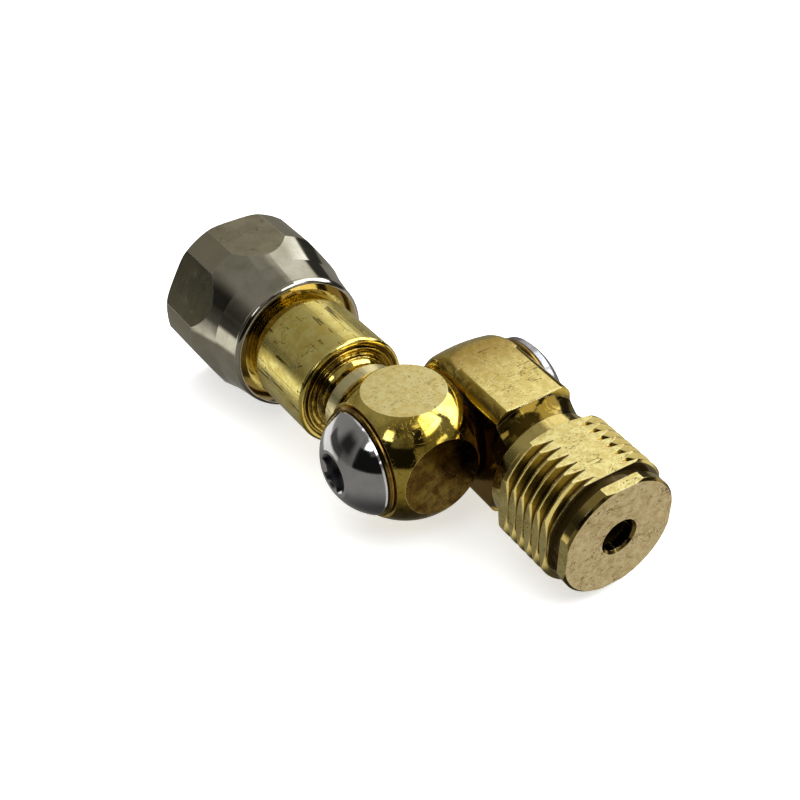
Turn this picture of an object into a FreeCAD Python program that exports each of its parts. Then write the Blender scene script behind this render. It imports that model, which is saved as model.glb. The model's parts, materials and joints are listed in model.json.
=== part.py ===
"""Brass swivel joint fitting: two bodies that turn on one hollow, sealed pivot.

A union nut and a stem lead into the inlet body. The pivot spindle carries the flow across into the
outlet body, which ends in a short male thread with four milled flats. Each end of the spindle is
closed by a domed screw.

Frame: the origin is the centre of the gasket's face inside the union nut, where the mating pipe
seats. +X runs along the inlet from there towards the outlet, +Y runs along the pivot from the inlet
body to the outlet body, and +Z is up. The pieces are drawn about the pivot: x = 0 is the pivot
axis, and y = 0 is halfway between the two bodies. They are moved into the frame when they are
written. All lengths are in millimetres.
"""
import FreeCAD, Part
import math
import os

V = FreeCAD.Vector
ORIGIN = V(0, 0, 0)
AXES = {"X": V(1, 0, 0), "Y": V(0, 1, 0), "Z": V(0, 0, 1)}

# Clearances
GAP = 0.05                  # between pieces that lie face to face, and around the spindle
BODY_GAP = 0.5              # between the two bodies, filled by the thrust washer

# Pipe thread, 7/8-14 UNF
PITCH = 25.4 / 14
MAJOR_R = 11.05             # male thread, a little under the nominal 11.11
THREAD_DEPTH = 1.19
ROOT_R = MAJOR_R - THREAD_DEPTH
FEMALE_R = 10.15            # the nut's thread at its crests
PASSAGE_R = 2.75            # flow passage through every piece

# Inlet body: a block cut out of a ball
INLET_WIDTH = 15.0          # along the pivot
INLET_HALF = 9.95           # from the pivot to the top, bottom, front and back flats
BALL_R = 11.9
INLET_Y = -(BODY_GAP + INLET_WIDTH) / 2

# Outlet body: rounded about the pivot, square in front
OUTLET_WIDTH = 13.6
OUTLET_HALF = 10.15
OUTLET_BACK_R = 10.9
OUTLET_CROWN = 0.35         # how much less the back's radius is near its two edges
OUTLET_CHAMFER = 1.8
EDGE_BULGE = 0.37           # 0.5 makes a flat chamfer of the block's edges, and 0.29 a full round
OUTLET_Y = (BODY_GAP + OUTLET_WIDTH) / 2
THREAD_Y = 6.65             # the thread's axis, a little nearer to the inlet body than the middle
OUTLET_DROOP = 3.6          # degrees that the outlet hangs below the inlet's line, as stored

# Outlet body, along its own axis from the pivot
SHOULDER_X = 11.95
SHOULDER_R = 10.15
NECK_X = 15.2
NECK_R = 8.8
RING_R = 9.25
THREAD_X = 17.65
THREAD_END_X = 29.75
RELIEF_R = 9.2
PILOT_X = 31.3
PILOT_R = 10.1
FACE_X = 33.15
FLAT_Z = 9.55               # from the thread's axis to the upper and lower milled flats
FLAT_Y = 10.05              # from the thread's axis to the milled flats at its sides
PILOT_FLAT_Y = 9.5          # the side flats are milled deeper across the pilot

# Pivot
SPINDLE_R = 5.45
PIVOT_BORE_R = SPINDLE_R + GAP
SPINDLE_INSET = 1.05        # from each outer face to the spindle's end, filled by the screw seal
SPINDLE_BORE_R = 2.3
SCREW_R = 2.95
TAPPED_R = 3.0
TAPPED_DEPTH = 3.3
PORT_HALF = 2.0             # half the width of the groove round each row of ports
PORT_R = 1.8
PORT_GROOVE_R = 4.4
SEAL_START = 3.05           # a seal groove, measured from the middle of its body
SEAL_WIDTH = 2.1
SEAL_GROOVE_R = 4.0
ORING_SECTION_R = 0.68
ORING_R = 4.72
BACKUP_THICKNESS = 0.62

# Domed screws and the rings below them
WASHER_THICKNESS = 0.75
INLET_WASHER_R = 8.8
OUTLET_WASHER_R = 9.1
INLET_HEAD = {"rim_r": 8.32, "rim": 0.5, "height": 4.55, "dome_r": 9.58}
OUTLET_HEAD = {"rim_r": 8.8, "rim": 1.1, "height": 4.2, "dome_r": 12.2}
SOCKET_ACROSS = 5.556       # 7/32 inch hex key
SOCKET_DEPTH = 3.2

# Stem: distances from the pivot towards the nut
NECK_START = INLET_HALF
SPIGOT_DEPTH = 3.85
SPIGOT_R = 4.55
BAND_R = 6.95
BAND_FAR = 12.5
NECK_GROOVE_R = 5.85
FRONT = 15.6                # the barrel's grooved front face
BARREL_R = 9.53
BARREL_FAR = 29.9
STEM_GROOVE_R = 9.0
COLLAR_R = 10.6
COLLAR_NEAR = 33.65
COLLAR_FAR = 38.2
STEM_END = 41.6
STEM_TAIL_R = 9.4
SEAL_R = 5.9
SEAL_COUNTERBORE = 1.2

# Union nut: distances from the pivot towards its mouth
NUT_FACE = 32.0             # the inward flange's outer face, which the stem's barrel comes through
FLANGE_FAR = COLLAR_NEAR - GAP
FLANGE_R = 9.97
NUT_CONE_NEAR = 38.0
NUT_CONE_FAR = 44.0
NUT_END = 54.0
NUT_R = 14.4
NUT_COLLAR_R = 12.8
NUT_RIM_R = 12.0
NUT_FACE_R = 11.3
NUT_FACE_DISH = 0.6         # depth of the face's hollow cone at the opening
NUT_ACROSS = 27.0
NUT_RELIEF_R = 11.2
GASKET_FACE = 43.0          # the nut's thread ends here too
GASKET_BORE_R = 4.0
GASKET_R = 9.8


def closed_face(corners, axis):
    """A flat face holding Z and the X or Y axis, from its (distance along the axis, Z) corners.

    A corner of four numbers ends an arc: the last two are a point partway along it.
    """
    def point(distance, height):
        return AXES[axis] * distance + V(0, 0, height)

    edges = []
    start = point(*corners[0])
    for corner in corners[1:] + [corners[0][:2]]:
        end = point(*corner[:2])
        if len(corner) == 4:
            edges.append(Part.Arc(start, point(*corner[2:]), end).toShape())
        elif start.distanceToPoint(end) > 1e-6:
            edges.append(Part.LineSegment(start, end).toShape())
        start = end
    return Part.Face(Part.Wire(edges))


def turned(profile, axis):
    """A solid turned about the X or Y axis, from its (distance along, radius) corners."""
    return closed_face(profile, axis).revolve(ORIGIN, AXES[axis], 360)


def ring(near, far, inner, outer, axis):
    """A plain ring between two distances along an axis."""
    return turned([(near, inner), (far, inner), (far, outer), (near, outer)], axis)


def rod(near, far, radius, axis):
    """A cylinder between two distances along an axis."""
    return Part.makeCylinder(radius, far - near, AXES[axis] * near, AXES[axis])


def box(low, high):
    """A box from its lowest corner to its highest."""
    return Part.makeBox(high[0] - low[0], high[1] - low[1], high[2] - low[2], V(*low))


def moved(shape, x=0, y=0):
    shape = shape.copy()
    shape.translate(V(x, y, 0))
    return shape


def turned_round(shape, axis, angle):
    shape = shape.copy()
    shape.rotate(ORIGIN, AXES[axis], angle)
    return shape


def inlet_body():
    low = (-INLET_HALF, -INLET_WIDTH / 2, -INLET_HALF)
    high = (INLET_HALF, INLET_WIDTH / 2, INLET_HALF)
    block = box(low, high).common(Part.makeSphere(BALL_R))
    block = block.cut(rod(-INLET_WIDTH, INLET_WIDTH, PIVOT_BORE_R, "Y"))
    spigot_end = NECK_START - SPIGOT_DEPTH - GAP
    block = block.cut(rod(-BALL_R, -spigot_end, SPIGOT_R + GAP, "X"))
    block = block.cut(rod(-BALL_R, 0, PASSAGE_R, "X"))
    block = block.cut(rod(-BALL_R, SEAL_COUNTERBORE - INLET_HALF, SEAL_R, "X"))
    return moved(block, y=INLET_Y)


def inlet_stem():
    profile = [
        (-STEM_END, PASSAGE_R),
        (-STEM_END, STEM_TAIL_R - 0.4),
        (-STEM_END + 0.4, STEM_TAIL_R),
        (-COLLAR_FAR, STEM_TAIL_R),
        (-COLLAR_FAR, COLLAR_R),
        (-COLLAR_NEAR - 0.2, COLLAR_R),
        (-COLLAR_NEAR, COLLAR_R - 0.2),
        (-COLLAR_NEAR, STEM_GROOVE_R),
        (-BARREL_FAR, STEM_GROOVE_R),
        (-BARREL_FAR, BARREL_R - 0.2),
        (-BARREL_FAR + 0.2, BARREL_R),
        (-FRONT - 1.0, BARREL_R),
        (-FRONT, 8.85, -FRONT - 0.25, 9.35),
        (-FRONT - 0.1, 8.7),
        (-FRONT - 0.05, 8.05, -FRONT - 0.85, 8.35),
        (-FRONT - 0.05, 7.7, -FRONT + 0.05, 7.87),
        (-FRONT + 0.3, 6.65, -FRONT - 0.5, 7.1),
        (-FRONT + 0.45, 6.3, -FRONT + 0.47, 6.5),
        (-FRONT + 0.8, 6.1),
        (-BAND_FAR, 6.7, -(FRONT + BAND_FAR) / 2 + 0.4, NECK_GROOVE_R),
        (-BAND_FAR + 0.35, BAND_R, -BAND_FAR + 0.1, BAND_R - 0.08),
        (-NECK_START - GAP, BAND_R),
        (-NECK_START - GAP, SPIGOT_R),
        (-NECK_START + SPIGOT_DEPTH, SPIGOT_R),
        (-NECK_START + SPIGOT_DEPTH, PASSAGE_R),
    ]
    return moved(turned(profile, "X"), y=INLET_Y)


def stem_seal():
    far = SEAL_COUNTERBORE - INLET_HALF - GAP
    seal = ring(-INLET_HALF + GAP, far, SPIGOT_R + GAP, SEAL_R - GAP, "X")
    return moved(seal, y=INLET_Y)


def nut_gasket():
    return moved(ring(-GASKET_FACE, -STEM_END - GAP, GASKET_BORE_R, GASKET_R, "X"), y=INLET_Y)


def union_nut():
    profile = [
        (-NUT_END, FEMALE_R + 0.3),
        (-NUT_END, NUT_R - 0.8),
        (-NUT_END + 0.8, NUT_R, -NUT_END + 0.3, NUT_R - 0.3),
        (-NUT_CONE_FAR, NUT_R),
        (-NUT_CONE_NEAR, NUT_COLLAR_R),
        (-NUT_FACE - 1.1, NUT_RIM_R),
        (-NUT_FACE, NUT_FACE_R, -NUT_FACE - 0.35, NUT_RIM_R - 0.2),
        (-NUT_FACE - NUT_FACE_DISH, FLANGE_R),
        (-FLANGE_FAR, FLANGE_R),
        (-FLANGE_FAR, COLLAR_R + GAP),
        (-COLLAR_FAR, COLLAR_R + GAP),
        (-COLLAR_FAR, NUT_RELIEF_R),
        (-GASKET_FACE, NUT_RELIEF_R),
        (-GASKET_FACE, FEMALE_R),
        (-NUT_END + 0.3, FEMALE_R),
    ]
    nut = turned(profile, "X")
    flat = box((-NUT_END - 1, -NUT_R, NUT_ACROSS / 2), (-NUT_FACE, NUT_R, NUT_R + 1))
    for side in range(6):
        nut = nut.cut(turned_round(flat, "X", 60 * side))
    return moved(nut, y=INLET_Y)


def seal_groove(body_y, side):
    """The low and high ends along Y of one seal groove; side is -1 or 1 from the body's middle."""
    ends = [body_y + side * SEAL_START, body_y + side * (SEAL_START + SEAL_WIDTH)]
    return min(ends), max(ends)


def pivot_spindle():
    low = INLET_Y - INLET_WIDTH / 2 + SPINDLE_INSET
    high = OUTLET_Y + OUTLET_WIDTH / 2 - SPINDLE_INSET
    spindle = rod(low, high, SPINDLE_R, "Y")
    for body_y in (INLET_Y, OUTLET_Y):
        port_low = body_y - PORT_HALF
        port_high = body_y + PORT_HALF
        spindle = spindle.cut(ring(port_low, port_high, PORT_GROOVE_R, SPINDLE_R + 1, "Y"))
        for side in (-1, 1):
            near, far = seal_groove(body_y, side)
            spindle = spindle.cut(ring(near, far, SEAL_GROOVE_R, SPINDLE_R + 1, "Y"))
        for axis in ("X", "Z"):
            spindle = spindle.cut(moved(rod(-SPINDLE_R, SPINDLE_R, PORT_R, axis), y=body_y))
    spindle = spindle.cut(rod(low + TAPPED_DEPTH, high - TAPPED_DEPTH, SPINDLE_BORE_R, "Y"))
    spindle = spindle.cut(rod(low, low + TAPPED_DEPTH, TAPPED_R, "Y"))
    return spindle.cut(rod(high - TAPPED_DEPTH, high, TAPPED_R, "Y"))


def oring(body_y, side):
    """A round ring at the end of its groove that faces the ports."""
    middle = body_y + side * (SEAL_START + ORING_SECTION_R + 0.02)
    return Part.makeTorus(ORING_R, ORING_SECTION_R, V(0, middle, 0), AXES["Y"])


def backup_ring(body_y, side):
    """A flat ring behind the round one, away from the ports."""
    outer = body_y + side * (SEAL_START + SEAL_WIDTH - GAP)
    inner = outer - side * BACKUP_THICKNESS
    return ring(min(inner, outer), max(inner, outer), SEAL_GROOVE_R + GAP, SPINDLE_R - GAP, "Y")


def thrust_washer():
    half = BODY_GAP / 2 - GAP
    return ring(-half, half, PIVOT_BORE_R + 0.1, 8.6, "Y")


def hexagon_prism(across, near, far):
    """A hexagonal prism along Y with a corner 15 degrees from +X."""
    corner_r = across / math.sqrt(3)
    corners = []
    for index in range(7):
        angle = math.radians(15 + 60 * index)
        corners.append(V(corner_r * math.cos(angle), near, corner_r * math.sin(angle)))
    return Part.Face(Part.makePolygon(corners)).extrude(V(0, far - near, 0))


def dome_screw(head):
    """A screw with its head's underside at y = 0 and its dome towards +Y."""
    rim = head["rim"]
    height = head["height"]
    centre = rim - math.sqrt(head["dome_r"] ** 2 - head["rim_r"] ** 2)
    tip_r = math.sqrt(head["dome_r"] ** 2 - (height - centre) ** 2)
    middle = (rim + height) / 2
    middle_r = math.sqrt(head["dome_r"] ** 2 - (middle - centre) ** 2)
    shank_end = -(WASHER_THICKNESS + 2 * GAP + SPINDLE_INSET + TAPPED_DEPTH - 0.3)
    profile = [
        (shank_end, 0),
        (shank_end, SCREW_R - 0.5),
        (shank_end + 0.5, SCREW_R),
        (0, SCREW_R),
        (0, head["rim_r"] - 0.15),
        (0.15, head["rim_r"]),
        (rim, head["rim_r"]),
        (height, tip_r, middle, middle_r),
        (height, 0),
    ]
    screw = turned(profile, "Y").cut(hexagon_prism(SOCKET_ACROSS, height - SOCKET_DEPTH, height + 1))
    corner_r = SOCKET_ACROSS / math.sqrt(3)
    entry = [
        (height - 0.45, 0),
        (height - 0.45, corner_r - 0.45),
        (height, corner_r),
        (height + 1, corner_r),
        (height + 1, 0),
    ]
    return screw.cut(turned(entry, "Y"))


def outer_face(side):
    """Distance along Y of the outer face of the inlet body (-1) or the outlet body (1)."""
    return INLET_Y - INLET_WIDTH / 2 if side < 0 else OUTLET_Y + OUTLET_WIDTH / 2


def placed_screw(side):
    screw = dome_screw(INLET_HEAD if side < 0 else OUTLET_HEAD)
    screw = moved(screw, y=abs(outer_face(side)) + WASHER_THICKNESS + 2 * GAP)
    return screw if side > 0 else turned_round(screw, "Z", 180)


def dome_washer(side):
    radius = INLET_WASHER_R if side < 0 else OUTLET_WASHER_R
    near = abs(outer_face(side)) + GAP
    far = near + WASHER_THICKNESS
    profile = [
        (near, SCREW_R + 0.15),
        (near, radius - 0.15),
        (near + 0.15, radius),
        (far - 0.3, radius),
        (far, radius - 0.3),
        (far, SCREW_R + 0.15),
    ]
    washer = turned(profile, "Y")
    return washer if side > 0 else turned_round(washer, "Z", 180)


def screw_seal(side):
    outer = abs(outer_face(side))
    seal = ring(outer - SPINDLE_INSET + GAP, outer, SCREW_R + 0.1, SPINDLE_R - 0.1, "Y")
    return seal if side > 0 else turned_round(seal, "Z", 180)


def outlet_block():
    """The block behind the neck: crowned and round at the back, square in front, with eased edges."""
    low = OUTLET_Y - OUTLET_WIDTH / 2
    high = OUTLET_Y + OUTLET_WIDTH / 2
    side_z = OUTLET_HALF - OUTLET_CHAMFER
    edge_r = OUTLET_BACK_R - OUTLET_CROWN
    run = edge_r - side_z
    bulge = EDGE_BULGE * run
    back = [
        (low, 0),
        (low, side_z),
        (low + run, edge_r, low + bulge, edge_r - bulge),
        (high - run, edge_r, OUTLET_Y, OUTLET_BACK_R),
        (high, side_z, high - bulge, edge_r - bulge),
        (high, 0),
    ]
    bulge = EDGE_BULGE * OUTLET_CHAMFER
    corner_z = OUTLET_HALF - bulge
    section = [
        (low, -side_z),
        (low, side_z),
        (low + OUTLET_CHAMFER, OUTLET_HALF, low + bulge, corner_z),
        (high - OUTLET_CHAMFER, OUTLET_HALF),
        (high, side_z, high - bulge, corner_z),
        (high, -side_z),
        (high - OUTLET_CHAMFER, -OUTLET_HALF, high - bulge, -corner_z),
        (low + OUTLET_CHAMFER, -OUTLET_HALF),
        (low, -side_z, low + bulge, -corner_z),
    ]
    front = closed_face(section, "Y").extrude(V(NECK_X, 0, 0))
    reach = OUTLET_BACK_R + 1
    slab = box((-reach, low - 1, -OUTLET_HALF), (NECK_X, high + 1, OUTLET_HALF))
    behind_pivot = box((-reach, low - 1, -reach), (0, high + 1, reach))
    rounded = turned(back, "Y").common(behind_pivot)
    return rounded.fuse(front).common(slab)


def shoulder_limit():
    """The turned outline that shapes the block's front into a hollow shoulder."""
    profile = [
        (-20, 0),
        (-20, 20),
        (SHOULDER_X - 0.6, 20),
        (SHOULDER_X - 0.2, SHOULDER_R + 0.95),
        (SHOULDER_X, SHOULDER_R),
        (NECK_X, NECK_R, SHOULDER_X + 1.25, NECK_R + 0.55),
        (NECK_X, 0),
    ]
    return moved(turned(profile, "X"), y=THREAD_Y)


def thread_core():
    """The threaded stretch along X. Its groove starts in the lower flat and runs out at the front."""
    profile = [
        (THREAD_X, 0),
        (THREAD_X, RING_R + 0.1),
        (THREAD_X + 0.8, MAJOR_R),
        (THREAD_END_X - 0.5, MAJOR_R),
        (THREAD_END_X, MAJOR_R - 0.6),
        (THREAD_END_X, 0),
    ]
    start = THREAD_X + PITCH * 2 / 3
    height = THREAD_END_X + 1.2 - start
    over = 0.35
    half_root = PITCH / 16
    half_crest = half_root + (THREAD_DEPTH + over) * math.tan(math.radians(30))
    outline = [
        V(ROOT_R, 0, -half_root),
        V(MAJOR_R + over, 0, -half_crest),
        V(MAJOR_R + over, 0, half_crest),
        V(ROOT_R, 0, half_root),
    ]
    helix = Part.makeHelix(PITCH, height, ROOT_R)
    groove = Part.Wire(helix).makePipeShell([Part.makePolygon(outline + outline[:1])], True, True)
    groove = moved(turned_round(groove, "Y", 90), x=start)
    return turned(profile, "X").cut(groove)


def outlet_end():
    """Neck ring, thread, relief groove and pilot disc, with four flats milled along them."""
    neck = [
        (NECK_X - 0.5, 0),
        (NECK_X - 0.5, NECK_R - 0.3),
        (NECK_X, NECK_R - 0.3),
        (NECK_X, RING_R - 0.1),
        (NECK_X + 0.1, RING_R),
        (THREAD_X, RING_R),
        (THREAD_X, 0),
    ]
    pilot = [
        (THREAD_END_X, 0),
        (THREAD_END_X, RELIEF_R),
        (PILOT_X, RELIEF_R),
        (PILOT_X, PILOT_R - 0.1),
        (PILOT_X + 0.1, PILOT_R),
        (FACE_X - 0.4, PILOT_R),
        (FACE_X, PILOT_R - 0.4),
        (FACE_X, 0),
    ]
    end = thread_core().fuse([turned(neck, "X"), turned(pilot, "X")])
    flats = box((0, -FLAT_Y, -FLAT_Z), (THREAD_END_X + 0.5, FLAT_Y, FLAT_Z))
    pilot_flats = box((THREAD_END_X, -PILOT_FLAT_Y, -FLAT_Z), (FACE_X + 1, PILOT_FLAT_Y, FLAT_Z))
    return moved(end.common(flats.fuse(pilot_flats)), y=THREAD_Y)


def outlet_body():
    body = outlet_block().common(shoulder_limit()).fuse(outlet_end())
    body = body.cut(rod(-1, OUTLET_Y + OUTLET_WIDTH, PIVOT_BORE_R, "Y"))
    countersink = [
        (0, 0),
        (0, PASSAGE_R),
        (FACE_X - 0.4, PASSAGE_R),
        (FACE_X, PASSAGE_R + 0.4),
        (FACE_X + 1, PASSAGE_R + 0.4),
        (FACE_X + 1, 0),
    ]
    body = body.cut(moved(turned(countersink, "X"), y=THREAD_Y)).removeSplitter()
    return turned_round(body, "Y", OUTLET_DROOP)


def pieces():
    made = {
        "inlet_body": inlet_body(),
        "inlet_stem": inlet_stem(),
        "stem_seal": stem_seal(),
        "nut_gasket": nut_gasket(),
        "union_nut": union_nut(),
        "pivot_spindle": pivot_spindle(),
        "thrust_washer": thrust_washer(),
        "outlet_body": outlet_body(),
    }
    for name, body_y, end in (("inlet", INLET_Y, -1), ("outlet", OUTLET_Y, 1)):
        made[name + "_dome_screw"] = placed_screw(end)
        made[name + "_dome_washer"] = dome_washer(end)
        made[name + "_screw_seal"] = screw_seal(end)
        made[name + "_outer_oring"] = oring(body_y, end)
        made[name + "_inner_oring"] = oring(body_y, -end)
        made[name + "_outer_backup_ring"] = backup_ring(body_y, end)
        made[name + "_inner_backup_ring"] = backup_ring(body_y, -end)
    return made


def main():
    os.makedirs("parts", exist_ok=True)
    for name, shape in pieces().items():
        shape = moved(shape, x=GASKET_FACE, y=-INLET_Y)
        print(name, "volume %.1f" % shape.Volume, "valid", shape.isValid(), "solids", len(shape.Solids))
        shape.exportStep("parts/%s.step" % name)


main()
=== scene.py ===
"""Looks for the brass swivel joint fitting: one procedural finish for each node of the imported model.

Lengths in the materials are in millimetres, in the row frame: X runs along the inlet towards the
outlet, Y along the pivot, Z up. Every finish is worked out from the object's own coordinates, so it
rides with its piece. Colours are linear.
"""
import json
import math
from types import SimpleNamespace

import bpy
from mathutils import Matrix, Vector


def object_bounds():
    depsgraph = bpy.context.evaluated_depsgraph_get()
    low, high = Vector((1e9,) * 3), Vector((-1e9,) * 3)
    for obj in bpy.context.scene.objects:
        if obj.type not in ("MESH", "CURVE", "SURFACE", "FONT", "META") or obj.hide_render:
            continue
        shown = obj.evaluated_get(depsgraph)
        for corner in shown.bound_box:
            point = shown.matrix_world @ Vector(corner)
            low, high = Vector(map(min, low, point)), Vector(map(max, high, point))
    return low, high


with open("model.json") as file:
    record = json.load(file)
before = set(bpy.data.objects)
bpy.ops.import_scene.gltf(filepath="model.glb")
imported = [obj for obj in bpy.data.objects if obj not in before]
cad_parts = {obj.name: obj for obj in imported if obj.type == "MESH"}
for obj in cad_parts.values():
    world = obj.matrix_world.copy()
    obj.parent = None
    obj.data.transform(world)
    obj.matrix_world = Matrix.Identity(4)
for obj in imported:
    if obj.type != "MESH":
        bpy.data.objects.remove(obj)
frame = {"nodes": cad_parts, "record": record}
cad_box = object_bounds()
NODES = frame["nodes"]

MM = 0.001
PIVOT_X = 43.0
STEM_Y = 0.0
THREAD_Y = 14.4
PITCH = 1.814
DROOP = math.radians(3.6)

# Where one region of the outlet gives way to the next, along its own axis from the pivot
BLOCK_END = (12.0, 12.6)
SHOULDER_START = (11.7, 12.0)
SHOULDER_END = (14.8, 15.1)
RING_START = (14.9, 15.3)
THREAD_START = (18.0, 18.4)
RELIEF_START = (29.64, 29.73)
PILOT_START = (31.1, 31.4)
FACE_START = (31.5, 32.0)
THREAD_ROOT = (9.9, 10.4)       # radius

# The same for the stem and the nut, in radius or along X
BARREL_EDGE = (9.35, 9.50)
NECK_GROOVES = (6.3, 9.0)
NECK_BAND_X = (30.5, 30.9)
NECK_BAND_R = (6.85, 6.93)
HEXAGON_END = (-1.6, -0.8)
BORE_EDGE = (10.2, 10.4)
BORE_END = (-0.3, 0.0)
OUTLET_SCREW_Y = (14.0, 15.0)

BRASS_LIGHT = (0.91, 0.75, 0.24)
BRASS_DEEP = (0.66, 0.49, 0.09)
# Brown of the real stains, also used for the painted shade in corners
BRASS_STAIN_AND_SHADE = (0.18, 0.10, 0.02)
BRASS_TARNISH = (0.075, 0.035, 0.004)
BRASS_UNDERSIDE_SHADE = (0.19, 0.11, 0.015)
BRASS_SCRATCH = (0.22, 0.14, 0.04)
BRASS_WORN_GLINT = (0.98, 0.88, 0.55)
PIT = (0.16, 0.10, 0.03)
GROOVE_SHADE = (0.10, 0.05, 0.01)
CHROME_LIGHT = (0.62, 0.60, 0.51)
CHROME_DEEP = (0.50, 0.48, 0.38)
CHROME_WORN_GLINT = (0.92, 0.92, 0.88)
WHITE = (1.0, 1.0, 1.0)
BLACK = (0.0, 0.0, 0.0)


# ---------------------------------------------------------------- node graph helpers

class Graph:
    """A node tree, built by short calls that return sockets."""

    def __init__(self, tree):
        self.tree = tree

    def put(self, socket, value):
        if isinstance(value, bpy.types.NodeSocket):
            self.tree.links.new(value, socket)
        elif value is not None:
            socket.default_value = value

    def put_color(self, socket, value):
        self.put(socket, value if isinstance(value, bpy.types.NodeSocket) else (*value, 1.0))

    def math(self, operation, a, b=None):
        node = self.tree.nodes.new("ShaderNodeMath")
        node.operation = operation
        self.put(node.inputs[0], a)
        self.put(node.inputs[1], b)
        return node.outputs[0]

    def times(self, *factors):
        product = factors[0]
        for factor in factors[1:]:
            product = self.math("MULTIPLY", product, factor)
        return product

    def plus(self, *terms):
        total = terms[0]
        for term in terms[1:]:
            total = self.math("ADD", total, term)
        return total

    def minus(self, a, b):
        return self.math("SUBTRACT", a, b)

    def inverse(self, mask):
        return self.minus(1.0, mask)

    def greater(self, a, b):
        return self.math("MAXIMUM", a, b)

    def absolute(self, a):
        return self.math("ABSOLUTE", a)

    def hypotenuse(self, a, b):
        return self.math("SQRT", self.plus(self.times(a, a), self.times(b, b)))

    def vector(self, operation, a, b=None, scale=None):
        node = self.tree.nodes.new("ShaderNodeVectorMath")
        node.operation = operation
        self.put(node.inputs[0], a)
        self.put(node.inputs[1], b)
        if scale is not None:
            self.put(node.inputs["Scale"], scale)
        return node.outputs["Value" if operation == "DOT_PRODUCT" else "Vector"]

    def step(self, value, low, high, out_low=0.0, out_high=1.0):
        """A smooth step from out_low at low to out_high at high."""
        node = self.tree.nodes.new("ShaderNodeMapRange")
        node.interpolation_type = "SMOOTHSTEP"
        self.put(node.inputs["Value"], value)
        self.put(node.inputs["From Min"], low)
        self.put(node.inputs["From Max"], high)
        self.put(node.inputs["To Min"], out_low)
        self.put(node.inputs["To Max"], out_high)
        return node.outputs["Result"]

    def past(self, value, edge):
        """1 where a value is past an edge, which is a pair of values."""
        return self.step(value, *edge)

    def before(self, value, edge):
        return self.step(value, *edge, 1.0, 0.0)

    def blend(self, amount, a, b):
        """Colour a with colour b over it by amount."""
        node = self.tree.nodes.new("ShaderNodeMix")
        node.data_type = "RGBA"
        node.clamp_factor = True
        self.put(node.inputs[0], amount)
        self.put_color(node.inputs[6], a)
        self.put_color(node.inputs[7], b)
        return node.outputs[2]

    def part(self, vector, axis):
        node = self.tree.nodes.new("ShaderNodeSeparateXYZ")
        self.put(node.inputs[0], vector)
        return node.outputs["XYZ".index(axis)]

    def join(self, x, y, z):
        node = self.tree.nodes.new("ShaderNodeCombineXYZ")
        self.put(node.inputs[0], x)
        self.put(node.inputs[1], y)
        self.put(node.inputs[2], z)
        return node.outputs[0]


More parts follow.
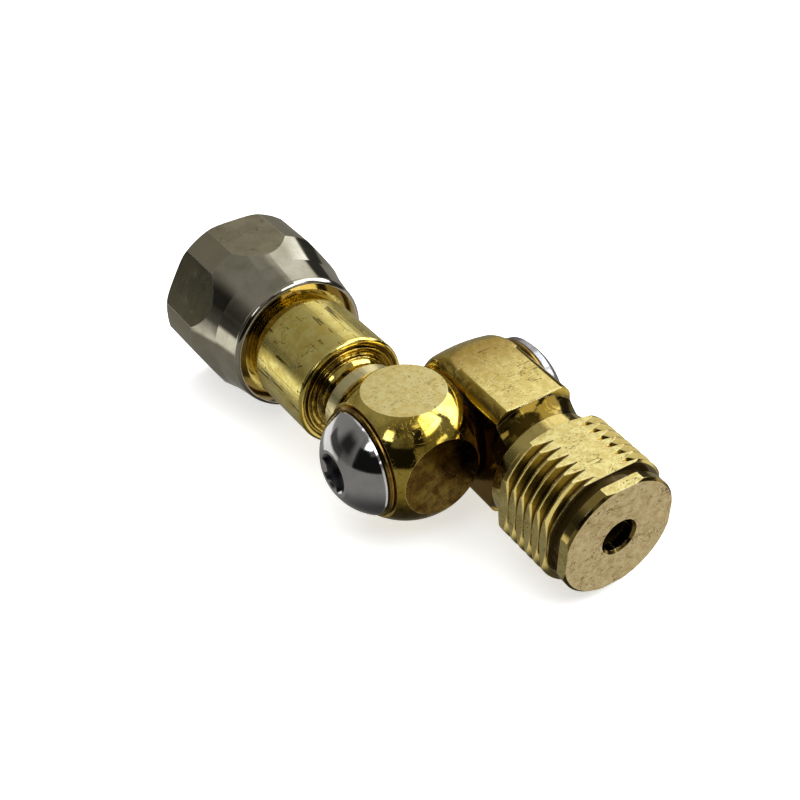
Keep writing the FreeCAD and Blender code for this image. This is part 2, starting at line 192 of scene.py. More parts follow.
class Finish(Graph):
    """A material and its node tree."""

    def __init__(self, name):
        self.material = bpy.data.materials.new(name)
        self.material.use_nodes = True
        super().__init__(self.material.node_tree)
        self.tree.nodes.clear()
        self.shader = self.tree.nodes.new("ShaderNodeBsdfPrincipled")
        output = self.tree.nodes.new("ShaderNodeOutputMaterial")
        self.tree.links.new(self.shader.outputs["BSDF"], output.inputs["Surface"])
        coordinates = self.tree.nodes.new("ShaderNodeTexCoord")
        self.place = self.vector("SCALE", coordinates.outputs["Object"], scale=1.0 / MM)
        self.x = self.part(self.place, "X")
        self.y = self.part(self.place, "Y")
        self.z = self.part(self.place, "Z")
        self.facing = coordinates.outputs["Normal"]

    def faces(self, direction):
        """How squarely the surface faces a direction: 1 when it faces straight that way."""
        return self.vector("DOT_PRODUCT", self.facing, direction)

    def noise(self, scale, detail=3.0, rough=0.55, place=None, stretch=None, distortion=0.0, shift=0.0):
        where = self.place if place is None else place
        if stretch is not None:
            where = self.vector("MULTIPLY", where, stretch)
        if shift:
            where = self.vector("ADD", where, (shift, shift * 0.7, shift * 1.3))
        node = self.tree.nodes.new("ShaderNodeTexNoise")
        self.put(node.inputs["Vector"], where)
        node.inputs["Scale"].default_value = scale
        node.inputs["Detail"].default_value = detail
        node.inputs["Roughness"].default_value = rough
        node.inputs["Distortion"].default_value = distortion
        return node.outputs["Fac"]

    def spots(self, scale, radius, soft_radius, shift):
        """Small round spots, one to each cell of a random pattern."""
        node = self.tree.nodes.new("ShaderNodeTexVoronoi")
        self.put(node.inputs["Vector"], self.vector("ADD", self.place, (shift, shift, shift)))
        node.inputs["Scale"].default_value = scale
        return self.before(node.outputs["Distance"], (radius, soft_radius))

    def recess(self, distance):
        """1 in the open, falling towards 0 in a corner or groove of that size."""
        node = self.tree.nodes.new("ShaderNodeAmbientOcclusion")
        node.samples = 3
        node.only_local = True
        node.inputs["Distance"].default_value = distance * MM
        return node.outputs["AO"]

    def corners(self, distance, deepest, strength):
        """Painted shade in the corners and grooves: a mask that darkens where the surface is hemmed in."""
        return self.step(self.recess(distance), deepest, 0.9, strength, 0.0)

    def soft_edges(self, radius):
        """Shading normals that round every edge over a radius."""
        node = self.tree.nodes.new("ShaderNodeBevel")
        node.samples = 3
        self.put(node.inputs["Radius"], self.times(radius, MM))
        return node.outputs["Normal"]

    # Bright edges made from this mask are partly wear and partly a painted highlight.
    def worn_edges(self, radius):
        """1 along the edges: where a normal rounded over the radius leans away from the face's own."""
        geometry = self.tree.nodes.new("ShaderNodeNewGeometry")
        lean = self.vector("DOT_PRODUCT", self.soft_edges(radius), geometry.outputs["Normal"])
        return self.step(lean, 0.90, 0.995, 1.0, 0.0)

    def bump(self, height, depth, normal):
        """Raises the surface by depth where height is 1."""
        node = self.tree.nodes.new("ShaderNodeBump")
        node.inputs["Strength"].default_value = 1.0
        node.inputs["Distance"].default_value = depth * MM
        self.put(node.inputs["Height"], height)
        self.put(node.inputs["Normal"], normal)
        return node.outputs["Normal"]

    def finish(self, color, roughness, normal=None, metallic=1.0):
        self.put_color(self.shader.inputs["Base Color"], color)
        self.put(self.shader.inputs["Roughness"], roughness)
        self.put(self.shader.inputs["Metallic"], metallic)
        self.put(self.shader.inputs["Normal"], normal)
        return self.material

    def glow(self, strength, specular):
        """White light of its own, for the stage."""
        self.shader.inputs["Specular IOR Level"].default_value = specular
        self.shader.inputs["Emission Color"].default_value = (*WHITE, 1.0)
        self.shader.inputs["Emission Strength"].default_value = strength


def wear_lines(g, stretch, scale, width, rarity, shift=0.0, wobble=0.3):
    """Thin scratches: the places where a stretched noise crosses its middle value."""
    value = g.noise(scale, detail=1.0, rough=0.5, stretch=stretch, distortion=wobble, shift=shift)
    lines = g.before(g.absolute(g.minus(value, 0.5)), (width * 0.4, width * 1.6))
    patches = g.step(g.noise(0.3, detail=2.0, shift=shift + 31.0), rarity, rarity + 0.08)
    return g.times(lines, patches)


def flat_mask(g, axis):
    """1 on faces square to an axis of the piece."""
    return g.step(g.absolute(g.part(g.facing, axis)), 0.9990, 0.9999)


def about_x(g, centre_y):
    """Distance from a line parallel to X."""
    return g.hypotenuse(g.minus(g.y, centre_y), g.z)


def about_pivot(g):
    """Distance from the pivot's axis."""
    return g.hypotenuse(g.minus(g.x, PIVOT_X), g.z)


def lathe_lines(g, along, around, scale, shift=0.0):
    """Fine turning marks: noise that changes along one distance and hardly at all round the piece."""
    where = g.join(along, g.times(around, 0.02), shift)
    return g.noise(scale, detail=4.0, rough=0.7, place=where)


# ---------------------------------------------------------------- metals

def brass_base(g, stain_low=0.56, stain_high=0.78, shift=0.0):
    """Brass with slow colour changes, brown stains, and painted shade that darkens its corners."""
    tone = g.noise(0.16, detail=4.0, shift=shift)
    color = g.blend(g.step(tone, 0.35, 0.68), BRASS_LIGHT, BRASS_DEEP)
    blotches = g.noise(0.34, detail=6.0, rough=0.66, distortion=0.6, shift=shift + 9.0)
    stain = g.step(blotches, stain_low, stain_high)
    color = g.blend(g.times(stain, 0.7), color, BRASS_STAIN_AND_SHADE)
    # Painted shade: corners and grooves darkened towards the stain brown
    return g.blend(g.corners(1.6, 0.35, 0.75), color, BRASS_STAIN_AND_SHADE), stain


def polish(g, grain, stain):
    """The roughness of polished brass."""
    return g.plus(g.step(grain, 0.3, 0.7, 0.05, 0.11), g.times(stain, 0.10))


def waviness(g, grain, shift):
    """The height of a hand-polished surface."""
    return g.plus(g.times(g.noise(0.35, detail=2.0, shift=shift + 5.0), 0.5), g.times(grain, 0.03))


def inlet_color(g, area, color):
    """The base colour under tarnish, painted shade on faces turned down, satin flats with pits, scratches,
    and bright edges that are partly wear and partly a painted highlight.
    """
    color = g.blend(g.times(area.front, area.tarnish), color, BRASS_TARNISH)
    # Painted shade: faces turned downwards are darkened, as if they reflected the shadowed table
    below = g.step(g.part(g.facing, "Z"), 0.05, -0.5)
    color = g.blend(g.times(below, g.step(area.tarnish, 0.80, 1.0, 0.45, 0.85)), color, BRASS_UNDERSIDE_SHADE)
    satin_color = g.blend(g.step(area.mottle, 0.38, 0.62), (0.98, 0.88, 0.46), (0.84, 0.69, 0.28))
    satin_color = g.blend(g.times(area.pits, 0.85), satin_color, PIT)
    color = g.blend(area.satin, color, satin_color)
    color = g.blend(g.times(area.marks, 0.55), color, BRASS_SCRATCH)
    # Painted highlight, partly wear: the edges are lightened
    color = g.blend(g.times(area.worn, 0.7), color, BRASS_WORN_GLINT)
    specks = g.step(g.noise(2.2, detail=4.0, rough=0.7, shift=4.0), 0.58, 0.66)
    return g.blend(g.times(specks, area.front, 0.7), color, (0.05, 0.03, 0.01))


def inlet_brass():
    """Polished ball with satin flats above and below, and tarnished flats in front and behind."""
    g = Finish("brass_inlet")
    color, stain = brass_base(g, 0.50, 0.70)
    tarnished = g.noise(0.45, detail=6.0, rough=0.7, distortion=0.5, shift=7.0)
    tarnish = g.step(tarnished, 0.34, 0.66, 0.80, 1.0)
    pits = g.spots(1.15, 0.06, 0.15, 0.0)
    scratches = wear_lines(g, (1.0, 0.25, 1.0), 1.0, 0.009, 0.50)
    scribbles = wear_lines(g, (0.45, 1.0, 0.6), 0.9, 0.008, 0.50, 50.0, 1.2)
    area = SimpleNamespace(
        satin=flat_mask(g, "Z"),
        front=flat_mask(g, "X"),
        tarnish=tarnish,
        mottle=g.noise(0.9, detail=6.0, rough=0.7, shift=3.0),
        pits=g.times(pits, g.step(g.noise(0.4, shift=17.0), 0.44, 0.56)),
        marks=g.greater(scratches, scribbles),
        worn=g.times(g.worn_edges(0.22), g.step(tarnish, 0.80, 1.0, 0.9, 0.35)),
    )
    color = inlet_color(g, area, color)
    grain = g.noise(6.0, detail=3.0)
    polished = g.plus(polish(g, grain, stain), g.times(area.front, 0.10))
    satin_rough = g.step(area.mottle, 0.3, 0.7, 0.34, 0.46)
    rough = g.plus(g.times(polished, g.inverse(area.satin)), g.times(satin_rough, area.satin))
    rough = g.plus(rough, g.times(area.marks, 0.15), g.times(area.worn, 0.15))
    height = g.minus(waviness(g, grain, 0.0), g.times(area.marks, 0.12))
    height = g.minus(height, g.times(area.pits, area.satin, 0.2))
    return g.finish(color, rough, g.bump(height, 0.05, g.soft_edges(0.16)))


def stem_color(g, area, color):
    """The base colour under a dull barrel, painted shade in the neck grooves, the pale band, and bright
    edges that are partly wear and partly a painted highlight.
    """
    dull = g.blend(g.step(area.mottle, 0.36, 0.66), (1.0, 0.89, 0.36), (0.84, 0.69, 0.20))
    color = g.blend(area.barrel, color, dull)
    color = g.blend(g.times(area.marks, 0.85), color, (0.12, 0.08, 0.015))
    # Painted shade: the neck grooves are darkened in patches
    groove_shade_patches = g.step(g.noise(0.6, detail=4.0, rough=0.7, distortion=0.6, shift=29.0), 0.44, 0.58)
    color = g.blend(g.times(g.before(area.radius, NECK_GROOVES), groove_shade_patches, 0.85), color, GROOVE_SHADE)
    color = g.blend(g.times(area.band, 0.9), color, (1.0, 0.92, 0.56))
    cross = wear_lines(g, (0.1, 1.0, 1.0), 0.8, 0.012, 0.42, 17.0)
    color = g.blend(g.times(cross, area.band, 0.5), color, (0.30, 0.22, 0.08))
    # Painted highlight, partly wear: the edges are lightened
    return g.blend(g.times(g.worn_edges(0.18), 0.5), color, (1.0, 0.90, 0.52))


def stem_brass():
    """Dull, scratched barrel, and a neck with painted shade in its grooves and one pale band."""
    g = Finish("brass_turned")
    color, stain = brass_base(g, 0.54, 0.74, shift=21.0)
    radius = about_x(g, STEM_Y)
    barrel = g.past(radius, BARREL_EDGE)
    lengthwise = wear_lines(g, (0.03, 1.0, 1.0), 0.55, 0.010, 0.42, 12.0, 0.3)
    handling = wear_lines(g, (0.5, 0.7, 0.7), 1.1, 0.010, 0.54, 71.0)
    area = SimpleNamespace(
        radius=radius,
        barrel=barrel,
        mottle=g.noise(0.5, detail=6.0, rough=0.7, shift=4.0),
        marks=g.times(g.greater(lengthwise, handling), barrel),
        band=g.times(g.past(g.x, NECK_BAND_X), g.past(radius, NECK_BAND_R)),
    )
    color = stem_color(g, area, color)
    turning = lathe_lines(g, g.x, radius, 5.0)
    rough = g.plus(
        g.step(turning, 0.3, 0.7, 0.05, 0.12),
        g.times(barrel, g.step(area.mottle, 0.3, 0.7, 0.14, 0.26)),
        g.times(area.band, 0.25),
        g.times(stain, 0.08),
    )
    height = g.plus(g.times(turning, 0.10), g.times(g.noise(0.3, detail=2.0, shift=8.0), 0.6))
    height = g.minus(height, g.times(area.marks, 0.3))
    return g.finish(color, rough, g.bump(height, 0.035, g.soft_edges(0.14)))


def washer_brass():
    """Turned ring, darkened all over: painted shade of the narrow gap it sits in."""
    g = Finish("brass_washer")
    color = brass_base(g, 0.40, 0.62, shift=33.0)[0]
    turning = lathe_lines(g, about_pivot(g), g.y, 7.0, 2.0)
    # Painted shade: the turning lines darken the ring a quarter to four fifths of the way to dark brown
    color = g.blend(g.step(turning, 0.38, 0.58, 0.25, 0.8), color, (0.20, 0.11, 0.035))
    rough = g.step(turning, 0.3, 0.7, 0.08, 0.24)
    return g.finish(color, rough, g.bump(turning, 0.012, g.soft_edges(0.12)))


def outlet_areas(g, shift):
    """Masks of the outlet body's regions, in its own drooping axes."""
    x = g.minus(g.x, PIVOT_X)
    along = g.minus(g.times(x, math.cos(DROOP)), g.times(g.z, math.sin(DROOP)))
    up = g.plus(g.times(x, math.sin(DROOP)), g.times(g.z, math.cos(DROOP)))
    radius = g.hypotenuse(up, g.minus(g.y, THREAD_Y))
    facing_y = g.part(g.facing, "Y")
    ahead = g.step(g.faces((math.cos(DROOP), 0.0, -math.sin(DROOP))), 0.998, 0.9998)
    end = g.times(ahead, g.past(along, FACE_START))
    top = g.step(g.absolute(g.faces((math.sin(DROOP), 0.0, math.cos(DROOP)))), 0.998, 0.9998)
    flank = g.step(g.absolute(facing_y), 0.998, 0.9998)
    threaded = g.past(along, RING_START)
    satin = g.greater(g.greater(top, end), g.times(flank, threaded))
    on_block = g.before(along, BLOCK_END)
    leaning = g.times(g.step(facing_y, -0.9, -0.75), g.before(facing_y, (-0.6, -0.3)))
    scribbles = wear_lines(g, (0.8, 0.5, 0.8), 1.2, 0.012, 0.40, shift, 1.5)
    streaks = wear_lines(g, (1.0, 0.2, 1.0), 0.9, 0.008, 0.48, shift + 40.0)
    specks = g.spots(1.3, 0.05, 0.11, shift)
    return SimpleNamespace(
        along=along,
        radius=radius,
        end=end,
        threaded=threaded,
        satin=satin,
        on_block=on_block,
        mottle=g.noise(0.8, detail=6.0, rough=0.7, shift=shift + 3.0),
        chamfer=g.times(leaning, on_block),
        behind=g.times(g.before(facing_y, (-0.999, -0.97)), on_block),
        shoulder=g.times(g.past(along, SHOULDER_START), g.before(along, SHOULDER_END)),
        relief=g.times(g.past(along, RELIEF_START), g.before(along, PILOT_START)),
        marks=g.times(g.greater(scribbles, streaks), g.step(satin, 0.0, 1.0, 0.35, 1.0)),
        specks=g.times(specks, satin, g.step(g.noise(0.5, shift=shift + 7.0), 0.5, 0.6)),
    )


def outlet_satin(g, area):
    """Colour of the flats: on the block pale, with painted shade turning it brown towards the back; pale
    on the thread; grey-brown on the end.
    """
    color = g.blend(g.step(area.mottle, 0.38, 0.62), (0.88, 0.79, 0.38), (0.72, 0.60, 0.24))
    block = g.blend(g.step(area.mottle, 0.36, 0.64), (0.95, 0.83, 0.38), (0.76, 0.62, 0.23))
    # Painted shade: the block's flats turn brown towards the back and stay light ahead
    block = g.blend(g.before(area.along, (-8.0, 9.0)), block, (0.34, 0.22, 0.05))
    end = g.blend(g.step(area.mottle, 0.36, 0.66), (0.72, 0.61, 0.37), (0.58, 0.46, 0.24))
    return g.blend(area.end, g.blend(area.on_block, color, block), end)


def outlet_color(g, area, color, shift):
    """The base colour under the stains and finishes of the outlet's regions."""
    polished = g.inverse(area.satin)
    grime = g.noise(0.5, detail=6.0, rough=0.7, distortion=0.8, shift=shift + 13.0)
    grime = g.step(grime, 0.36, 0.6, 0.15, 0.9)
    color = g.blend(g.times(area.chamfer, grime), color, (0.33, 0.21, 0.05))
    color = g.blend(area.satin, color, outlet_satin(g, area))
    color = g.blend(g.times(area.threaded, polished, 0.7), color, (0.94, 0.79, 0.34))
    # Painted shade: the polished thread roots are darkened
    root_shade = g.times(g.past(area.along, THREAD_START), g.before(area.radius, THREAD_ROOT), polished, 0.8)
    color = g.blend(root_shade, color, (0.26, 0.17, 0.03))
    # Painted shade: the relief groove is painted nearly black
    color = g.blend(g.times(area.relief, 0.95), color, (0.07, 0.045, 0.012))
    patches = g.noise(0.36, detail=3.0, rough=0.6, distortion=1.0, shift=shift + 23.0)
    patches = g.step(patches, 0.38, 0.48, 0.72, 0.97)
    # Painted shade: the block's side that faces the inlet is darkened, as if it reflected the inlet's
    # shaded side
    color = g.blend(g.times(area.behind, 0.85), color, (0.16, 0.075, 0.01))
    # Painted reflection: dark patches cover most of the polished shoulder, as if it reflected a dark room
    color = g.blend(g.times(area.shoulder, patches), color, (0.12, 0.08, 0.015))
    color = g.blend(g.times(area.marks, 0.75), color, (0.18, 0.11, 0.035))
    color = g.blend(g.times(area.specks, 0.6), color, (0.22, 0.14, 0.05))
    # Painted highlight, partly wear: the edges are lightened, except in the relief groove
    worn = g.times(g.worn_edges(0.20), g.step(area.relief, 0.0, 1.0, 0.55, 0.0))
    return g.blend(worn, color, (1.0, 0.92, 0.60))


def outlet_brass():
    """Polished block and shoulder, scratched satin top, turned thread and a stained end face."""
    g = Finish("brass_outlet")
    shift = 61.0
    color, stain = brass_base(g, shift=shift)
    area = outlet_areas(g, shift)
    color = outlet_color(g, area, color, shift)
    grain = g.noise(6.0, detail=3.0, shift=shift)
    turning = lathe_lines(g, area.along, area.radius, 5.0, 9.0)
    satin_rough = g.minus(g.step(area.mottle, 0.3, 0.7, 0.34, 0.46), g.times(area.on_block, 0.10))
    rough = g.plus(
        g.times(polish(g, grain, stain), g.inverse(area.satin)),
        g.times(satin_rough, area.satin),
        g.times(area.marks, 0.12),
    )
    height = g.times(waviness(g, grain, shift), g.step(area.threaded, 0.0, 1.0, 1.0, 0.35))
    height = g.plus(height, g.times(turning, area.threaded, 0.10))
    height = g.minus(height, g.times(area.marks, 0.12))
    height = g.minus(height, g.times(area.specks, 0.2))
    normal = g.bump(height, 0.05, g.soft_edges(g.step(area.along, 11.6, 12.4, 0.45, 0.12)))
    # The relief groove is made less metallic so that its painted shade is not lit by reflections
    return g.finish(color, rough, normal, g.inverse(g.times(area.relief, 0.5)))


def hexagon_flats(g):
    """1 on the nut's six flats."""
    flats = 0.0
    for turn in (0.0, 60.0, 120.0):
        normal = (0.0, math.sin(math.radians(turn)), math.cos(math.radians(turn)))
        flats = g.greater(flats, g.step(g.absolute(g.faces(normal)), 0.9990, 0.9998))
    return flats


def nut_color(g, flats, tone, smudge, marks, worn):
    """Chrome over the nut's cone, flats and end face, with grime, scratches, painted shade in the corners,
    a painted highlight on the top flat, a painted reflection on the end face, and bright edges that are
    partly wear and partly a painted highlight.
    """
    turned = g.inverse(flats)
    color = g.blend(g.step(tone, 0.35, 0.7), CHROME_LIGHT, CHROME_DEEP)
    strips = g.times(g.before(g.x, HEXAGON_END), turned, 0.8)
    color = g.blend(strips, color, (0.48, 0.45, 0.33))
    color = g.blend(flats, color, g.blend(g.step(tone, 0.35, 0.7), (0.43, 0.41, 0.30), (0.31, 0.29, 0.19)))
    # Painted highlight: the flat facing straight up is made lighter than the others
    top = g.times(g.step(g.part(g.facing, "Z"), 0.95, 0.99), flats)
    color = g.blend(top, color, g.blend(g.step(tone, 0.3, 0.7), (0.72, 0.66, 0.48), (0.48, 0.44, 0.31)))
    # Painted reflection: the end face is tinted brown, as if it reflected the brass barrel
    end = g.step(g.part(g.facing, "X"), 0.80, 0.90)
    color = g.blend(g.times(end, 0.9), color, (0.35, 0.29, 0.22))
    color = g.blend(g.times(smudge, 0.35), color, (0.40, 0.39, 0.32))
    # Painted shade: corners and grooves darkened
    color = g.blend(g.corners(1.4, 0.35, 0.6), color, (0.12, 0.11, 0.09))
    color = g.blend(g.times(marks, 0.6), color, (0.12, 0.11, 0.08))
    # Painted highlight, partly wear: the edges are lightened
    return g.blend(g.times(worn, 0.8), color, CHROME_WORN_GLINT)


def bore_thread(g, radius):
    """Helical waves in the nut's bore, and the mask of the bore."""
    bore = g.times(g.before(radius, BORE_EDGE), g.before(g.x, BORE_END))
    turn = g.math("ARCTAN2", g.z, g.minus(g.y, STEM_Y))
    helix = g.plus(turn, g.times(g.x, math.tau / PITCH))
    return g.times(g.math("SINE", helix), bore), bore


def nut_chrome():
    """Worn chrome with an olive cast, bright at its edges (wear, and partly a painted highlight), and
    brass-coloured thread lines inside.
    """
    g = Finish("chrome_nut")
    radius = about_x(g, STEM_Y)
    flats = hexagon_flats(g)
    tone = g.noise(0.2, detail=5.0, shift=2.0)
    smudge = g.step(g.noise(0.33, detail=6.0, rough=0.7, distortion=0.8, shift=14.0), 0.5, 0.72)
    scratches = wear_lines(g, (0.25, 1.0, 1.0), 0.9, 0.009, 0.50, 5.0)
    handling = wear_lines(g, (1.0, 0.5, 0.5), 0.8, 0.008, 0.52, 44.0)
    marks = g.times(g.greater(scratches, handling), g.step(flats, 0.0, 1.0, 0.15, 1.0))
    worn = g.worn_edges(0.22)
    color = nut_color(g, flats, tone, smudge, marks, worn)
    turning = lathe_lines(g, g.x, radius, 6.0, 5.0)
    rough = g.plus(
        g.step(turning, 0.3, 0.7, 0.04, 0.09),
        g.times(flats, g.step(tone, 0.3, 0.7, 0.06, 0.14)),
        g.times(smudge, 0.07),
        g.times(marks, 0.06),
        g.times(worn, 0.25),
    )
    waves = g.times(g.noise(0.25, detail=1.0, shift=6.0), 0.35)
    height = g.minus(g.plus(waves, g.times(turning, g.inverse(flats), 0.12)), g.times(marks, 0.05))
    normal = g.bump(height, 0.03, g.soft_edges(0.14))
    ridges, bore = bore_thread(g, radius)
    color = g.blend(g.times(bore, g.step(ridges, -0.6, 0.6, 0.8, 0.3)), color, (0.42, 0.32, 0.14))
    return g.finish(color, rough, g.bump(g.times(ridges, 0.5), 0.6, normal))


def screw_chrome():
    """Polished dome, with painted shade that makes its socket black. The outlet's screw is duller."""
    g = Finish("chrome_dome")
    tone = g.noise(0.25, detail=4.0, shift=1.0)
    color = g.blend(g.step(tone, 0.35, 0.7), (0.72, 0.72, 0.75), (0.60, 0.60, 0.62))
    # Painted shade: the socket and corners are darkened nearly to black
    color = g.blend(g.corners(2.0, 0.3, 0.9), color, (0.03, 0.03, 0.03))
    cloudy = g.step(g.noise(0.35, detail=3.0, rough=0.55, shift=11.0), 0.34, 0.64, 0.55, 1.0)
    dull = g.times(g.past(g.y, OUTLET_SCREW_Y), cloudy)
    color = g.blend(g.times(dull, 0.7), color, (0.20, 0.20, 0.21))
    handling = wear_lines(g, (0.7, 0.7, 0.7), 1.2, 0.006, 0.5, 25.0)
    turning = lathe_lines(g, about_pivot(g), g.y, 5.0, 7.0)
    rough = g.plus(g.step(turning, 0.3, 0.7, 0.05, 0.11), g.times(handling, 0.15), g.times(dull, 0.12))
    height = g.plus(g.times(turning, 0.15), g.times(g.noise(0.3, detail=1.0, shift=3.0), 0.4))
    return g.finish(color, rough, g.bump(height, 0.02, g.soft_edges(0.15)))


# ---------------------------------------------------------------- hidden pieces

def ground_steel():
    """Ground spindle, with fine marks round its axis."""
    g = Finish("steel_ground")
    turning = lathe_lines(g, g.y, about_pivot(g), 8.0)
    color = g.blend(g.step(turning, 0.35, 0.65), (0.66, 0.66, 0.67), (0.50, 0.50, 0.52))
    rough = g.step(turning, 0.3, 0.7, 0.18, 0.32)
    return g.finish(color, rough, g.bump(turning, 0.01, g.soft_edges(0.08)))


def soft_material(name, light, dark, smoothest, roughest, depth):
    """Rubber or plastic with a fine grain and slow changes of tone."""
    g = Finish(name)
    tone = g.noise(0.3, detail=4.0)
    grain = g.noise(6.0, detail=3.0, rough=0.6)
    color = g.blend(g.step(tone, 0.35, 0.65), light, dark)
    rough = g.step(grain, 0.3, 0.7, smoothest, roughest)
    return g.finish(color, rough, g.bump(grain, depth, g.soft_edges(0.08)), metallic=0.0)


# What makes the finish of each material slot
METALS = {
    "inlet_brass": inlet_brass,
    "stem_brass": stem_brass,
    "outlet_brass": outlet_brass,
    "washer_brass": washer_brass,
    "nut_chrome": nut_chrome,
    "screw_chrome": screw_chrome,
    "spindle_steel": ground_steel,
}
SOFT_MATERIALS = {
    "seal_rubber": ("rubber_seal", (0.030, 0.030, 0.031), (0.015, 0.015, 0.016), 0.38, 0.60, 0.006),
    "backup_plastic": ("plastic_backup", (0.82, 0.81, 0.76), (0.70, 0.68, 0.62), 0.40, 0.55, 0.006),
    "bearing_plastic": ("plastic_bearing", (0.06, 0.055, 0.05), (0.03, 0.028, 0.026), 0.40, 0.60, 0.008),
    "gasket_plastic": ("plastic_gasket", (0.78, 0.75, 0.66), (0.66, 0.62, 0.52), 0.45, 0.60, 0.010),
}


def dress_nodes():
    """Gives each CAD node the finish of its own material slot."""
    finishes = {slot: make() for slot, make in METALS.items()}
    finishes.update({slot: soft_material(*values) for slot, values in SOFT_MATERIALS.items()})
    for row in frame["record"]["subparts"]:
        node = NODES[row["node"]]
        node.data.materials.clear()
        node.data.materials.append(finishes[row["material_slot"]])


# ---------------------------------------------------------------- stage

FLOOR_LEVEL = cad_box[0][2] - 0.0001
FLOOR_REACH = 3.0
BACKDROP_RADIUS = 2.9
BACKDROP_HEIGHT = 2.5
BACKDROP_SIDES = 64


def stage_piece(name, points, faces, material, unseen_by):
    """A piece of the stage. Rays of the kinds in unseen_by pass through it."""
    mesh = bpy.data.meshes.new(name)
    mesh.from_pydata(points, [], faces)
    mesh.materials.append(material)
    piece = bpy.data.objects.new(name, mesh)
    bpy.context.scene.collection.objects.link(piece)
    for kind in unseen_by:
        setattr(piece, "visible_" + kind, False)


def floor():
    """A plain pale floor just under the object. The metals reflect the room instead."""
    g = Finish("floor_pale")
    tone = g.noise(0.02, detail=2.0)
    color = g.blend(g.step(tone, 0.3, 0.7), (0.90, 0.90, 0.90), (0.88, 0.88, 0.88))
    g.glow(0.5, specular=0.1)
    signs = ((-1, -1), (1, -1), (1, 1), (-1, 1))
    corners = [(x * FLOOR_REACH, y * FLOOR_REACH, FLOOR_LEVEL) for x, y in signs]
    stage_piece("floor", corners, [(0, 1, 2, 3)], g.finish(color, 0.8, metallic=0.0), ("glossy",))


def backdrop():
    """A plain pale wall all round, seen by the camera alone, so that low views have no dark horizon."""
    turns = [math.tau * n / BACKDROP_SIDES for n in range(BACKDROP_SIDES)]
    ring = [(BACKDROP_RADIUS * math.cos(turn), BACKDROP_RADIUS * math.sin(turn)) for turn in turns]
    points = [(x, y, FLOOR_LEVEL + height) for height in (0.0, BACKDROP_HEIGHT) for x, y in ring]
    pairs = [(n, (n + 1) % BACKDROP_SIDES) for n in range(BACKDROP_SIDES)]
    faces = [(a, b, BACKDROP_SIDES + b, BACKDROP_SIDES + a) for a, b in pairs]
    g = Finish("backdrop_pale")
    g.glow(1.0, specular=0.0)
    unseen_by = ("glossy", "diffuse", "transmission", "shadow")
    stage_piece("backdrop", points, faces, g.finish(BLACK, 1.0, metallic=0.0), unseen_by)


# The room that the metals reflect. Angles are in degrees, and each glow is a brightness.
TABLE_GLOW = (0.07, 0.24)           # straight down, and towards the horizon
WALL_GLOW = (0.17, 0.26)            # in front, and behind
CEILING_GLOW = 0.15                 # added overhead
HORIZON = (-1.5, 0.5)
BEHIND = (-0.85, 0.53, 0.0)
WARM_LIGHT = (1.0, 0.965, 0.89)
WINDOW_LIGHT = (0.96, 0.98, 1.0)
# Each patch: azimuth, elevation, half width, half height and softness, and its glow
PATCHES = (
    ((32.0, -30.0, 50.0, 34.0, 12.0), 0.62),        # table in front of the outlet
    ((-155.0, -11.0, 35.0, 8.0, 6.0), 0.85),        # sunlit far edge of the table
    ((-52.0, 18.5, 33.0, 17.5, 3.0), 0.012),        # dark figure in front
    ((-140.0, 45.0, 45.0, 25.0, 15.0), 0.24),       # left-hand wall
    ((-134.0, 5.0, 18.0, 5.0, 6.0), 0.08),          # dark edge behind the table
    ((-112.0, 26.0, 8.0, 6.0, 20.0), 0.03),         # dark shelf on the left
    ((-33.0, 36.0, 22.0, 4.0, 4.0), 0.12),          # shaded wall over the figure
    ((-50.0, 50.0, 5.0, 5.0, 2.0), 0.05),           # dark frame of the small window
    ((-65.0, 45.0, 8.0, 6.0, 1.5), 1.9),            # small window
    ((-7.0, 42.0, 9.0, 12.0, 4.0), 0.02),           # dark gap between the windows
    ((-3.0, 59.0, 8.0, 3.0, 1.5), 1.1),             # narrow light over the gap
    ((30.0, 33.0, 27.0, 8.0, 3.0), 0.18),           # shaded wall under the large window
    ((30.0, 23.5, 10.0, 1.5, 1.0), 1.4),            # bright line on that wall
    ((32.0, 52.0, 21.0, 11.0, 3.5), 2.9),           # large window
    ((92.0, 40.0, 30.0, 22.0, 4.0), 2.4),           # second window
    ((134.0, 36.0, 5.0, 14.0, 17.0), 0.8),          # bright wall beside it
    ((61.0, 36.0, 3.0, 9.0, 2.0), 0.12),            # bar between the two windows
    ((90.0, 5.0, 45.0, 8.0, 4.0), 0.05),            # dark skirting below the second window
)


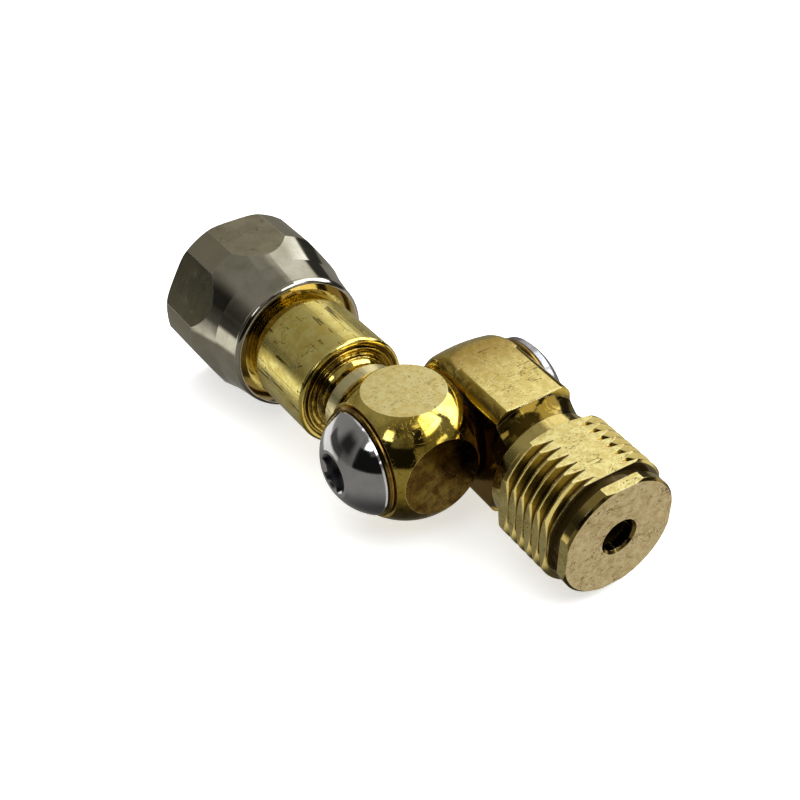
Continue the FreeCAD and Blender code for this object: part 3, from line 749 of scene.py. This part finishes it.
def room():
    """The world: a table top below, warm walls, dark furniture near the horizon, and windows."""
    world = bpy.data.worlds.new("studio")
    bpy.context.scene.world = world
    world.use_nodes = True
    g = Graph(world.node_tree)
    direction = g.tree.nodes.new("ShaderNodeTexCoord").outputs["Generated"]
    x, y, z = (g.part(direction, axis) for axis in "XYZ")
    azimuth = g.math("DEGREES", g.math("ARCTAN2", y, x))
    elevation = g.math("DEGREES", g.math("ARCSINE", z))
    walls = g.step(g.vector("DOT_PRODUCT", direction, BEHIND), -0.1, 0.55, *WALL_GLOW)
    walls = g.plus(walls, g.step(elevation, 55.0, 85.0, 0.0, CEILING_GLOW))
    table = g.step(elevation, -80.0, -35.0, *TABLE_GLOW)
    above = g.past(elevation, HORIZON)
    glow = g.plus(g.times(walls, above), g.times(table, g.inverse(above)))
    for (middle, height, half_width, half_height, soft), value in PATCHES:
        across = g.absolute(g.minus(azimuth, middle))
        upward = g.absolute(g.minus(elevation, height))
        mask = g.times(
            g.before(across, (half_width, half_width + soft)),
            g.before(upward, (half_height, half_height + soft)),
        )
        glow = g.plus(glow, g.times(mask, g.minus(value, glow)))
    background = g.tree.nodes["Background"]
    g.put(background.inputs["Strength"], glow)
    g.put(background.inputs["Color"], g.blend(g.step(glow, 0.5, 1.6), WARM_LIGHT, WINDOW_LIGHT))


PANEL_PLACE = (0.05, 0.05, 0.9)
PANEL_AIM = (0.03, 0.006, 0.0)
PANEL_SIZE = 1.4
PANEL_POWER = 7.0


def light():
    """A broad panel that lights the floor. The metal takes its light from the room."""
    data = bpy.data.lights.new("top_panel", "AREA")
    data.shape = "RECTANGLE"
    data.size = PANEL_SIZE
    data.size_y = PANEL_SIZE
    data.energy = PANEL_POWER
    item = bpy.data.objects.new("top_panel", data)
    item.location = PANEL_PLACE
    item.rotation_euler = (Vector(PANEL_AIM) - Vector(PANEL_PLACE)).to_track_quat("-Z", "Y").to_euler()
    item.visible_glossy = False
    bpy.context.scene.collection.objects.link(item)


CAMERA_PLACE = (0.1835, -0.08841, 0.13369)
CAMERA_RIGHT = (0.5472, 0.8365, -0.0281)
CAMERA_FORWARD = (-0.6765, 0.4223, -0.6033)
CAMERA_LENS = 63.0


def camera():
    """The photograph's viewing angle."""
    right = Vector(CAMERA_RIGHT).normalized()
    forward = Vector(CAMERA_FORWARD)
    forward = (forward - right * forward.dot(right)).normalized()
    up = right.cross(forward)
    data = bpy.data.cameras.new("camera")
    data.sensor_width = 36.0
    data.lens = CAMERA_LENS
    data.clip_start = 0.005
    data.clip_end = 20.0
    item = bpy.data.objects.new("camera", data)
    turned = Matrix((right, up, -forward)).transposed().to_4x4()
    item.matrix_world = Matrix.Translation(CAMERA_PLACE) @ turned
    bpy.context.scene.collection.objects.link(item)
    bpy.context.scene.camera = item


dress_nodes()
floor()
backdrop()
room()
light()
camera()
bpy.context.scene.view_settings.view_transform = "Standard"
bpy.context.scene.view_settings.look = "Medium High Contrast"
